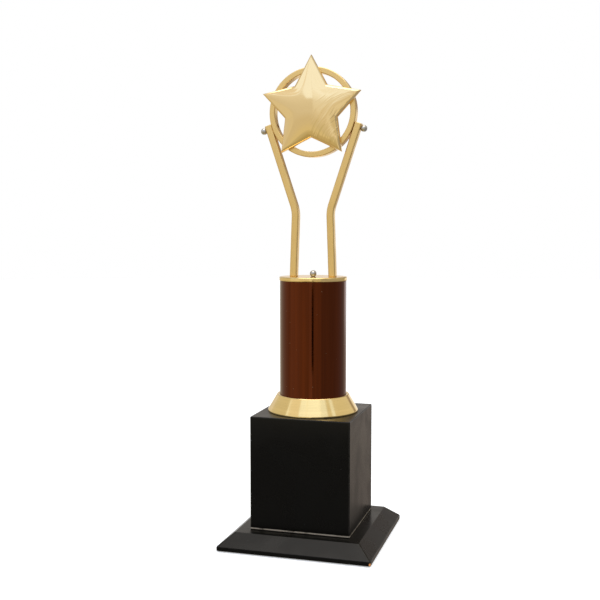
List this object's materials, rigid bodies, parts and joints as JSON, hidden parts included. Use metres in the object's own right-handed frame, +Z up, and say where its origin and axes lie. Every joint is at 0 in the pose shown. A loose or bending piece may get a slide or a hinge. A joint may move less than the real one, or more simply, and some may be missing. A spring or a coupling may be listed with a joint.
{
  "type": "star trophy",
  "caption": "Award trophy: a square black plinth and block, a brown column with gold collar and cap, and bent gold arms holding a ring with a domed star.",
  "frame": {"origin": "centre of the felt pad's underside, on the surface that the trophy stands on", "axes": "+Z up along the column, -Y towards the front, where the star faces, +X to the object's left-to-right as seen from the front"},
  "size_m": [0.114, 0.114, 0.3604],
  "materials": {
    "felt": "napped felt",
    "black_lacquer": "satin lacquer over fibreboard",
    "column_brown": "glossy tinted lacquer over brushed metal",
    "collar_gold": "polished, clear coated",
    "cap_gold": "polished, clear coated",
    "arm_gold": "satin, clear coated",
    "ring_gold": "satin, clear coated",
    "star_gold": "mirror polished, clear coated",
    "star_back_gold": "satin, clear coated",
    "ball_silver": "polished nickel plate",
    "fastener_zinc": "zinc plated",
    "plug_wood": "turned, bare",
    "plug_alloy": "turned"
  },
  "bodies": {
    "root": {"felt_pad": "felt", "plinth": "black_lacquer", "plinth_screws": "fastener_zinc", "block": "black_lacquer", "tie_rod": "fastener_zinc", "tie_rod_washer": "fastener_zinc", "tie_rod_nut": "fastener_zinc", "collar": "collar_gold", "column_plug_lower": "plug_wood", "column_tube": "column_brown", "column_plug_upper": "plug_alloy", "column_cap": "cap_gold", "cap_ball_screw": "ball_silver", "arm_left": "arm_gold", "arm_right": "arm_gold", "arm_screws": "fastener_zinc", "ring": "ring_gold", "ring_screw_left": "ball_silver", "ring_screw_right": "ball_silver", "star_front": "star_gold", "star_back": "star_back_gold", "star_screws": "fastener_zinc"}
  },
  "joints": []
}
